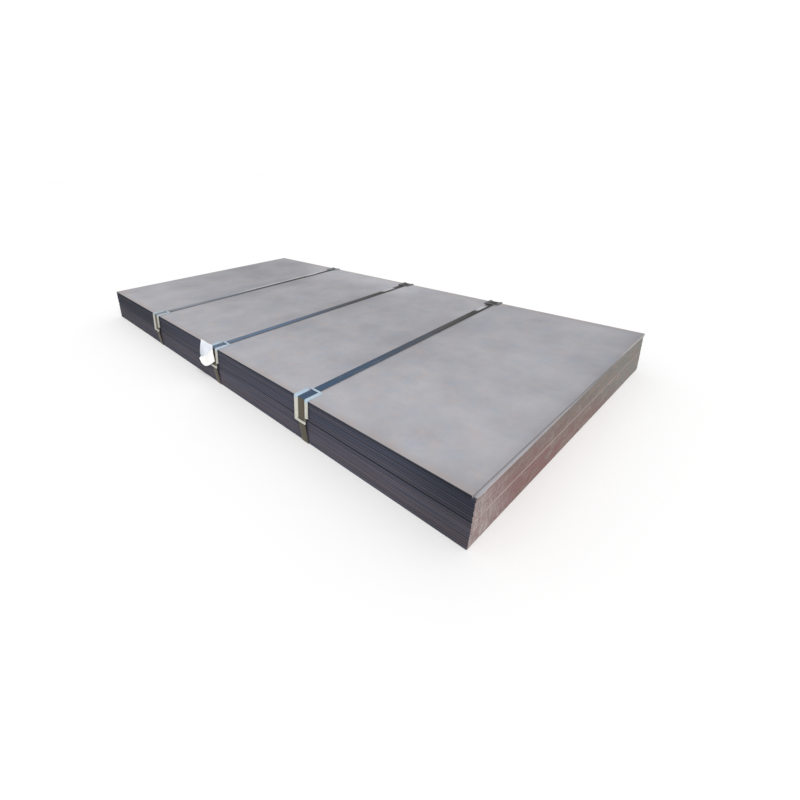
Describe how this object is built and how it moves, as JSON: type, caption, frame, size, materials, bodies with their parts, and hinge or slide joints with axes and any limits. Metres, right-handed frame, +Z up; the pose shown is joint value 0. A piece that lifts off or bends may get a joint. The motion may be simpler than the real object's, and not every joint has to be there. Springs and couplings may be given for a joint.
{
  "type": "strapped bundle of steel plates",
  "caption": "Flat bundle of rectangular hot-rolled steel plates held by crimped steel straps over moulded edge protectors.",
  "frame": {"origin": "middle of the footprint, on the floor", "axes": "+X along the plates towards the end nearest the viewer, +Y across them away from the tagged side, +Z up"},
  "size_m": [2.5138, 1.2906, 0.1768],
  "materials": {
    "plate": "hot-rolled mill scale, satin grey with a light bloom of rust at the cut edges",
    "strap": "blued and waxed steel strapping, satin",
    "seal": "zinc-coated, satin",
    "edge_protector": "cream-white moulded plastic, matt",
    "tag": "creased white coated paper, matt"
  },
  "bodies": {
    "root": {"plate_01": "plate", "plate_02": "plate", "plate_03": "plate", "plate_04": "plate", "plate_05": "plate", "plate_06": "plate", "plate_07": "plate", "plate_08": "plate", "plate_09": "plate", "plate_10": "plate", "plate_11": "plate", "plate_12": "plate", "plate_13": "plate", "plate_14": "plate", "plate_15": "plate", "plate_16": "plate", "plate_17": "plate", "plate_18": "plate", "plate_19": "plate", "strap_left": "strap", "seal_left": "seal", "edge_protector_left_near": "edge_protector", "edge_protector_left_far": "edge_protector", "strap_middle": "strap", "seal_middle": "seal", "edge_protector_middle_near": "edge_protector", "edge_protector_middle_far": "edge_protector", "strap_right": "strap", "seal_right": "seal", "edge_protector_right_near": "edge_protector", "edge_protector_right_far": "edge_protector", "tag": "tag"}
  },
  "joints": []
}
